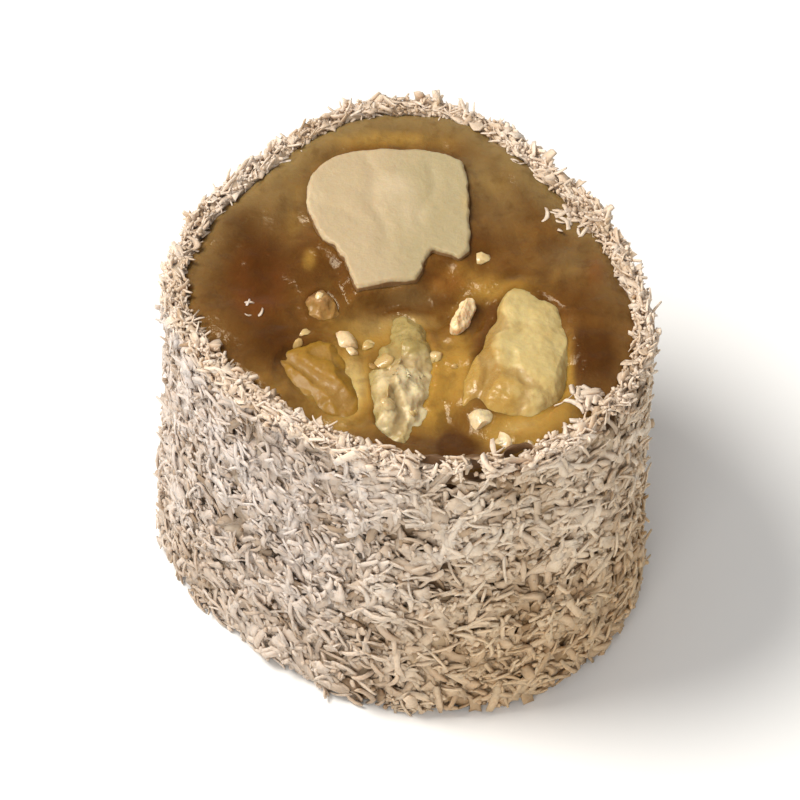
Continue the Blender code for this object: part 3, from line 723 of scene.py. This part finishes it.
def coconutPaint(name, darkest, usual, palest):
    paint = Paint(name)
    fine = paint.noise(0.22 * mm, 3.0, 0.6)
    cloud = paint.noise(5.0 * mm, 2.0, 0.5)
    ownTint = paint.attribute("tint")
    tint = paint.maths("ADD", ownTint, paint.spread(cloud, 0.3, 0.7, -0.18, 0.14))
    colour = paint.ramp(tint, [(0.0, darkest), (0.35, usual), (1.0, palest)])
    specks = shareOf(usual, coatLook["specks"])
    colour = paint.mix(paint.spread(fine, 0.40, 0.75, 0.0, 0.35), colour, specks)
    apart = paint.node("ShaderNodeSeparateXYZ", {0: paint.place})
    height = apart.outputs["Z"]
    # painted shade with a warm reflected cast, growing towards the foot
    low = paint.spread(height, 0.0, coatLook["footHeight"], 0.50, 0.0)
    colour = paint.mix(low, colour, coatLook["footShade"], "MULTIPLY")
    span = coatLook["sideSpan"]
    rightward = paint.spread(apart.outputs["X"], -span, span)  # painted light and shade across the side: darker and cooler to the left, warm tan to the right
    sideLightAndShade = paint.mix(rightward, coatLook["leftSideShade"], coatLook["rightSideShade"])
    below = paint.spread(height, *coatLook["underRim"], 1.0, 0.15)
    colour = paint.mix(below, colour, sideLightAndShade, "MULTIPLY")
    # painted shade with a warm reflected cast on the lower right of the side
    lower = paint.spread(height, *coatLook["lowerRightShadeBand"], 1.0, 0.0)
    lowerRightShade = paint.maths("MULTIPLY", rightward, lower)
    colour = paint.mix(lowerRightShade, colour, coatLook["lowerRightShadeTone"], "MULTIPLY")
    atRim = paint.spread(height, *coatLook["rimBand"])
    colour = paint.mix(atRim, colour, coatLook["rimTone"], "MULTIPLY")
    # the lowest tints take the bare colour: in bare spots, on brown pieces, and as painted shade in the
    # deepest hollows
    bare = paint.spread(ownTint, -0.9, -0.1, 1.0, 0.0)
    colour = paint.mix(bare, colour, coatLook["bareAndShadeColour"])
    rough = paint.spread(fine, 0.3, 0.7, 0.48, 0.68)
    normal = paint.bump(fine, 0.06 * mm, 0.6)
    paint.surface(
        Base_Color=colour, Roughness=rough, Normal=normal, Subsurface_Weight=0.3,
        Subsurface_Radius=(1.0, 0.8, 0.6), Subsurface_Scale=0.5 * mm)
    return paint.material


def takeTemplate(obj):
    editAll(obj)
    bpy.ops.mesh.normals_make_consistent(inside=False)
    bpy.ops.object.mode_set(mode="OBJECT")
    template = verticesOf(obj).copy(), [tuple(face.vertices) for face in obj.data.polygons]
    bpy.data.objects.remove(obj)
    return template


def shredTemplate(bend, sway, twist, widths):  # one long and wide, scaled where it is used
    deselectAll()
    halfDiagonal = 0.7071  # of a square one wide
    eighthTurn = (0, 0, math.radians(45))
    bpy.ops.mesh.primitive_circle_add(
        vertices=4, radius=halfDiagonal, fill_type="NGON", rotation=eighthTurn)
    obj = bpy.context.object
    bpy.ops.object.transform_apply(location=False, rotation=True, scale=False)
    bpy.ops.object.mode_set(mode="EDIT")
    bpy.ops.mesh.select_all(action="SELECT")
    bpy.ops.transform.resize(value=(widths[0], 0.6, 1))
    for step, thicker in enumerate((1.4, 1.1, 0.95, 0.7)):
        wider = widths[step + 1] / widths[step]
        move = sway * (step - 1), bend * (step - 1), 0.25
        bpy.ops.mesh.extrude_region_move(TRANSFORM_OT_translate={"value": move})
        bpy.ops.transform.resize(value=(wider, thicker, 1))
        bpy.ops.transform.rotate(value=twist, orient_axis="Z", center_override=(0, 0, 0))
    bpy.ops.mesh.select_all(action="SELECT")
    bpy.ops.transform.translate(value=(0, 0, -0.5))
    bpy.ops.object.mode_set(mode="OBJECT")
    return takeTemplate(obj)


def flakeTemplate(seed):  # a thin curled flake with a ragged edge
    rng = random.Random(seed)
    deselectAll()
    upright = (math.radians(90), 0, 0)
    bpy.ops.mesh.primitive_grid_add(x_subdivisions=2, y_subdivisions=3, size=1.0, rotation=upright)
    obj = bpy.context.object
    bpy.ops.object.transform_apply(location=False, rotation=True, scale=False)
    curl = rng.uniform(-0.7, 0.7)
    for vertex in obj.data.vertices:
        vertex.co.x += rng.uniform(-0.14, 0.14)
        vertex.co.z += rng.uniform(-0.14, 0.14)
        vertex.co.y = curl * (vertex.co.x ** 2 + vertex.co.z ** 2 - 0.3) + rng.uniform(-0.06, 0.06)
    applyModifier(obj, "SOLIDIFY", thickness=0.13, offset=0.0)
    return takeTemplate(obj)


def grainTemplate(seed):
    rng = random.Random(seed)
    deselectAll()
    bpy.ops.mesh.primitive_ico_sphere_add(subdivisions=1, radius=0.55)
    obj = bpy.context.object
    for vertex in obj.data.vertices:
        vertex.co *= rng.uniform(0.7, 1.25)
    return takeTemplate(obj)


def scatter(name, places):  # joins a copy of a template for each place, from its size, turn and tint
    points = []
    faces = []
    tints = []
    start = 0
    for (templatePoints, templateFaces), centre, along, out, size, tint in places:
        across = out.cross(along).normalized()
        turn = np.array([across * size[0], out * size[1], along * size[2]])
        placed = templatePoints @ turn + np.array(centre)
        placed[:, 2] += max(floorGap - placed[:, 2].min(), 0.0)
        placed[:, 2] -= max(placed[:, 2].max() - cadHigh.z - looseRoom, 0.0)
        faces.extend(tuple(start + i for i in face) for face in templateFaces)
        points.append(placed)
        tints.append(np.full(len(placed), tint) + 0.10 * templatePoints[:, 2])
        start += len(placed)
    mesh = bpy.data.meshes.new(name)
    mesh.from_pydata(np.concatenate(points).tolist(), [], faces)
    obj = bpy.data.objects.new(name, mesh)
    bpy.context.scene.collection.objects.link(obj)
    storeValues(obj, "tint", np.concatenate(tints))
    return obj


jellyTree = treeOf(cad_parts["jelly"])
wallTop = sliceTop - 1.2 * mm  # the side is plain up to here
wellOutside = 30 * mm
mmPerDegree = 0.27  # round the side


def wallAt(angle, z):  # the jelly's side and its outward direction there
    out = Vector((math.cos(angle), math.sin(angle), 0))
    start = Vector((sliceMiddle.x, sliceMiddle.y, min(z, wallTop))) + out * wellOutside
    place, normal, _, _ = jellyTree.ray_cast(start, -out)
    place.z = z
    return place, (normal if normal.dot(out) > 0 else -normal)


def bareness(place):  # how thin the coat is at a place, up to 1
    bearing = math.degrees(math.atan2(place.y - sliceMiddle.y, place.x - sliceMiddle.x))
    most = max(
        1.0 - math.hypot((bearing - spotBearing) * mmPerDegree, place.z / mm - height) / reach
        for spotBearing, height, reach in coatLook["bareSpots"])
    return min(coatLook["bareGain"] * most, 1.0)


def clumping(place):  # above nought in a thick clump, below it in a hollow
    broad = noise.noise(place / (2.8 * coatLook["clumpSize"]) + Vector((3, 7, 1)))
    return noise.noise(place / coatLook["clumpSize"]) + 0.5 * broad


def makeCoatLayer(name, templates, look):
    rng = random.Random(look["seed"])
    places = []
    rimCount = int(look["count"] * look["rimShare"])  # laid along the rim
    for i in range(look["count"]):
        onRim = i < rimCount
        angle = 2 * math.pi * ((i * coatLook["spacing"]) % 1.0) + rng.uniform(-0.02, 0.02)
        if onRim:
            z = sliceTop + rng.uniform(*coatLook["rimHeight"]) * mm
        else:
            z = rng.uniform(0.4 * mm, sliceTop - 0.3 * mm)
        place, out = wallAt(angle, z)
        side = Vector((-out.y, out.x, 0)).normalized()
        turn = rng.uniform(0, math.pi)
        rise = coatLook["rimRise"] if onRim else 1.0
        along = side * math.cos(turn) + Vector((0, 0, math.sin(turn) * rise))
        if onRim:
            along = along + out * rng.uniform(-coatLook["rimLean"], coatLook["rimLean"])
            depth = rng.uniform(*coatLook["rimDepth"]) * mm
        else:
            lean = rng.uniform(-0.15, look["tilt"])
            along = along + out * lean * (1 if turn < math.pi / 2 or rng.random() < 0.5 else -1)
            depth = rng.uniform(*look["depth"]) * mm
        along = along.normalized()
        faceOut = Vector((0, 0, 1)) if onRim and rng.random() < 0.5 else out
        faceOut = (faceOut - along * faceOut.dot(along)).normalized()
        smaller = coatLook["rimSize"] if onRim else 1.0
        size = [rng.uniform(*look[part]) * smaller * mm for part in ("width", "thick", "length")]
        # deeper pieces are tinted darker: painted shade among the shreds
        outermost = (depth / mm - 0.8) / 0.9
        darkTint, paleTint = look["tint"]
        tint = darkTint + (paleTint - darkTint) * min(max(0.35 * outermost + 0.75 * rng.random(), 0), 1)
        if rng.random() < coatLook["brownShare"]:
            tint = coatLook["brownTint"]
        clump = clumping(place) * (0.5 if onRim else 1.0)
        depth += coatLook["clumpRise"] * clump
        # painted light on clumps and along the rim, painted shade in the hollows
        tint += coatLook["clumpLightAndShade"] * clump + coatLook["rimPaintedLight"] * onRim
        template = rng.choice(templates)
        if clump < coatLook["thinnedBelow"] and i % 2:
            continue
        bare = bareness(place)
        if bare < coatLook["bareFrom"]:
            places.append((template, place + out * depth, along, faceOut, size, tint))
        elif i % coatLook["bareKeeps"] == 0:
            settled = place + out * (depth - 0.8 * coatLook["bareDepth"] * bare)
            settled -= Vector((0, 0, 0.4 * mm * bare * onRim))
            places.append((template, settled, along, faceOut, size, tint))
    return scatter(name, places)


def makeCoatBase():  # the close packed coconut under the loose shreds
    base = copyOfSolid("coconut_coat", "coatBase")
    applyModifier(base, "REMESH", mode="VOXEL", voxel_size=coatLook["baseVoxel"])
    applyModifier(base, "SMOOTH", factor=0.6, iterations=25)
    points, outward = verticesOf(base), normalsOf(base)
    radial = (points - np.array(sliceMiddle)) * (1, 1, 0)
    radial /= np.linalg.norm(radial, axis=1)[:, None]
    facesOut = np.sum(radial * outward, axis=1) > 0.2
    outside = base.vertex_groups.new(name="outside")
    outside.add(np.flatnonzero(facesOut).tolist(), 1.0, "REPLACE")
    swell(base, -coatLook["baseInset"], group="outside")
    applyModifier(base, "SMOOTH", factor=0.5, iterations=4)
    addRelief(base, reliefTexture("CLOUDS", 0.6 * mm, noise_depth=2), 0.25 * mm)
    # The base's low tint is painted shade between the shreds, lifted towards the rim where the base lies
    # open; clumps and hollows add painted light and shade, and bare spots darken it.
    rimward = np.clip((verticesOf(base)[:, 2] - sliceTop) / mm + 1.2, 0, 1)
    bare = np.array([max(bareness(v.co), 0.0) for v in base.data.vertices])
    clump = np.array([clumping(v.co) for v in base.data.vertices]) * facesOut
    tint = 0.15 + 0.7 * rimward + 1.2 * coatLook["clumpLightAndShade"] * clump - 2.8 * bare
    storeValues(base, "tint", tint)
    rise = clump * coatLook["clumpRise"] - bare * coatLook["bareDepth"]
    moveVertices(base, verticesOf(base) + radial * rise[:, None])
    return base


print("coconut coat")
coatBase = makeCoatBase()
finishPiece(coatBase, coconutPaint("coconutGapShade", *coatLook["gapShadeTones"]), "coconut", "coconut_coat")
palePaint = coconutPaint("coconutPale", *coatLook["paleTones"])
tapers = (  # the widths of a shred at its five sections
    (0.7, 0.95, 1.0, 0.9, 0.6), (0.8, 1.0, 0.85, 0.95, 0.75),
    (0.5, 0.8, 1.0, 0.95, 0.8), (0.7, 0.9, 0.75, 1.0, 0.65),
)
bends = (  # how a shred bends, sways and twists from section to section
    (0.0, 0.1, 0.1), (0.6, 0.0, -0.15), (-0.6, 0.15, 0.2), (0.3, -0.3, 0.3),
    (-0.3, 0.3, -0.3), (0.9, 0.2, 0.1), (0.2, 0.45, 0.2), (-0.9, -0.2, 0.0),
)
shredTemplates = [shredTemplate(*bend, tapers[i % len(tapers)]) for i, bend in enumerate(bends)]
flakeTemplates = [flakeTemplate(seed) for seed in range(6)]
grainTemplates = [grainTemplate(seed) for seed in range(5)]
layers = {
    "shreds": shredTemplates, "threads": shredTemplates, "flakes": flakeTemplates, "grains": grainTemplates,
}
for kind, templates in layers.items():
    layer = makeCoatLayer("coconut" + kind.capitalize(), templates, coatLook[kind])
    print("  ", kind, len(layer.data.polygons))
    finishPiece(layer, palePaint, "coconut", "coconut_coat")


# Crumbs on the cut face

crumbLook = {
    "walnutSeed": 11,
    "coconutSeed": 12,
    "walnutSpots": [  # x, y, reach, how many, size, how pale
        (-0.9, -6.6, 1.2, 3, 1.0, 0.35), (0.2, -10.6, 1.2, 3, 1.0, 0.7), (-3.3, -4.4, 0.1, 1, 1.9, 1.0),
        (-3.1, -5.4, 0.2, 1, 1.2, 0.9), (-1.6, -4.2, 0.9, 2, 0.9, 0.6), (2.3, -6.2, 0.9, 3, 1.0, 0.5),
        # the two palest crumbs, at (4.9, -11.2) and (6.3, -12.9), are cream bits that also stand for wet
        # glints below the right walnut: painted highlights
        (5.2, 2.2, 0.2, 2, 1.1, 0.7), (8.0, -12.8, 1.4, 2, 0.8, 0.6), (4.9, -11.2, 0.15, 2, 1.4, 1.0),
        (6.3, -12.9, 0.12, 2, 1.5, 1.0), (-5.2, -1.3, 0.2, 1, 0.8, 0.9), (-5.6, -5.0, 1.2, 2, 0.8, 0.3),
    ],
    "coconutSpots": [
        (12.0, 5.9, 1.8, 34, 0.8, 0.6), (10.0, 5.6, 1.2, 10, 0.8, 0.6), (9.6, 9.6, 1.2, 24, 0.8, 0.6),
        (7.6, 11.6, 0.9, 8, 0.8, 0.6), (11.8, -10.0, 1.2, 22, 1.0, 0.7), (-0.6, -14.6, 1.4, 8, 1.0, 0.7),
        (1.1, -15.4, 0.4, 6, 1.6, 1.2), (6.0, -15.8, 0.4, 4, 1.4, 1.0), (-10.4, -8.6, 1.4, 12, 1.0, 0.7),
        # the last spot's few pale bits on the dark jelly at the left also stand for its small pink glints:
        # painted highlights
        (-8.8, -1.2, 2.0, 4, 0.45, 0.5),
    ],
    "deepest": 3 * mm,  # under the cut face
    "tones": [
        (0.0, (0.34, 0.18, 0.04)), (0.4, (0.48, 0.32, 0.11)), (0.75, (0.62, 0.46, 0.22)),
        (1.0, (0.72, 0.53, 0.30)),
    ],
    "specks": (0.34, 0.19, 0.05),
}


def faceHeight(trees, x, y):
    best = None
    for tree in trees:
        place, normal, _, _ = tree.ray_cast(Vector((x, y, cadHigh.z + 5 * mm)), Vector((0, 0, -1)))
        if place is not None and (best is None or place.z > best[0].z):
            best = place, normal
    return best


def makeCrumbs(name, spots, seed, templates, flat, material, slot, node):
    rng = random.Random(seed)
    trees = [treeOf(obj) for obj in [jelly, coatBase] + nuts[1:]]
    places = []
    for x, y, reach, count, size, pale in spots:
        for _ in range(count):
            crumbX = (x + rng.gauss(0, reach / 2)) * mm
            crumbY = (y + rng.gauss(0, reach / 2)) * mm
            found = faceHeight(trees, crumbX, crumbY)
            if found is None or found[0].z < sliceTop - crumbLook["deepest"]:
                continue
            place, normal = found
            along = Vector((rng.uniform(-1, 1), rng.uniform(-1, 1), rng.uniform(-0.2, 0.35)))
            along = (along - normal * normal.dot(along)).normalized() + normal * rng.uniform(-0.1, 0.3) * flat
            along.normalize()
            out = (normal - along * normal.dot(along)).normalized()
            big = size * rng.uniform(0.5, 1.3) * mm
            wide = big * (rng.uniform(0.25, 0.4) if flat else rng.uniform(0.6, 1.0))
            thick = wide * (0.4 if flat else rng.uniform(0.65, 1.0))
            sizes = wide, thick, big * (1.6 if flat else 1.0)
            sunk = place + out * thick * (0.2 if flat else -0.15)
            template = rng.choice(templates)
            places.append((template, sunk, along, out, sizes, pale + rng.uniform(-0.25, 0.25)))
    crumbs = scatter(name, places)
    finishPiece(crumbs, material, slot, node)
    if not flat:
        makeActive(crumbs)
        bpy.ops.object.shade_smooth_by_angle(angle=math.radians(50))
        deselectAll()
    return crumbs


def crumbTemplate(seed):
    deselectAll()
    bpy.ops.mesh.primitive_ico_sphere_add(subdivisions=2, radius=0.55)
    obj = bpy.context.object
    rng = random.Random(seed)
    sides = []  # flat and broken
    for _ in range(8):
        direction = Vector((rng.gauss(0, 1), rng.gauss(0, 1), rng.gauss(0, 1))).normalized()
        sides.append((direction, rng.uniform(0.22, 0.46)))
    for vertex in obj.data.vertices:
        for direction, reach in sides:
            over = vertex.co.dot(direction) - reach
            if over > 0:
                vertex.co -= direction * over
        vertex.co *= rng.uniform(0.96, 1.04)
    return takeTemplate(obj)


def crumbPaint():
    paint = Paint("walnutCrumbs")
    fine = paint.noise(0.2 * mm, 3.0, 0.6)
    colour = paint.ramp(paint.attribute("tint"), crumbLook["tones"])
    colour = paint.mix(paint.spread(fine, 0.4, 0.75, 0.0, 0.5), colour, crumbLook["specks"])
    rough = paint.spread(fine, 0.3, 0.7, 0.18, 0.35)
    normal = paint.bump(fine, 0.06 * mm, 0.6)
    paint.surface(
        Base_Color=colour, Roughness=rough, Normal=normal, Subsurface_Weight=0.3,
        Subsurface_Radius=(1.0, 0.5, 0.2), Subsurface_Scale=0.4 * mm, Coat_Weight=0.3)
    return paint.material


print("crumbs")
crumbTemplates = [crumbTemplate(seed) for seed in range(5)]
makeCrumbs(
    "walnutCrumbs", crumbLook["walnutSpots"], crumbLook["walnutSeed"], crumbTemplates, False,
    crumbPaint(), "walnut", "walnut_middle")
makeCrumbs(
    "coconutBits", crumbLook["coconutSpots"], crumbLook["coconutSeed"], shredTemplates, True,
    palePaint, "coconut", "coconut_coat")


# Floor, light and camera

stageLook = {
    "floorSize": 1.6,
    "floorColour": (0.90, 0.895, 0.88),
    "sky": 0.42,
    "aim": (0, 0, 0.01),
    "key": {"place": (-0.21, 0.02, 0.36), "power": 1.9, "size": 0.20, "colour": (1.0, 0.97, 0.92)},
    "fill": {"place": (-0.08, -0.38, 0.20), "power": 0.75, "size": 0.30, "colour": (1.0, 0.99, 0.97)},
    "elevation": 48.8,
    "lens": 300,
    "distance": 0.43,
}


def makeFloor():
    deselectAll()
    bpy.ops.mesh.primitive_plane_add(size=stageLook["floorSize"])
    floor = bpy.context.object
    floor.name = "floor"
    paint = Paint("paleFloor")
    paint.surface(Base_Color=stageLook["floorColour"], Roughness=0.7)
    floor.data.materials.append(paint.material)


def softLight(name, look, shines):
    light = bpy.data.lights.new(name, "AREA")
    light.shape = "DISK"
    light.size = look["size"]
    light.energy = look["power"]
    light.color = look["colour"]
    lamp = bpy.data.objects.new(name, light)
    bpy.context.scene.collection.objects.link(lamp)
    lamp.location = look["place"]
    lamp.rotation_mode = "QUATERNION"
    away = Vector(look["place"]) - Vector(stageLook["aim"])
    lamp.rotation_quaternion = away.to_track_quat("Z", "Y")
    lamp.visible_camera = False
    lamp.visible_glossy = shines


def makeCamera():
    camera = bpy.data.cameras.new("camera")
    camera.lens = stageLook["lens"]
    camera.sensor_width = 36
    camera.clip_start = 0.01
    camera.clip_end = 10
    eye = bpy.data.objects.new("camera", camera)
    bpy.context.scene.collection.objects.link(eye)
    tilt = math.radians(stageLook["elevation"])
    back = Vector((0, -math.cos(tilt), math.sin(tilt)))
    target = Vector((0, 0, (cadLow.z + cadHigh.z) / 2))
    eye.location = target + back * stageLook["distance"]
    eye.rotation_mode = "QUATERNION"
    eye.rotation_quaternion = back.to_track_quat("Z", "Y")
    bpy.context.scene.camera = eye


def makeSky():
    world = bpy.data.worlds.new("world")
    bpy.context.scene.world = world
    world.use_nodes = True
    background = world.node_tree.nodes["Background"]
    background.inputs["Color"].default_value = (1, 1, 1, 1)
    background.inputs["Strength"].default_value = stageLook["sky"]


print("floor, light and camera")
makeFloor()
softLight("keyLight", stageLook["key"], True)
softLight("fillLight", stageLook["fill"], False)  # leaves no glare on the jelly
makeCamera()
makeSky()
bpy.context.scene.view_settings.view_transform = "Standard"
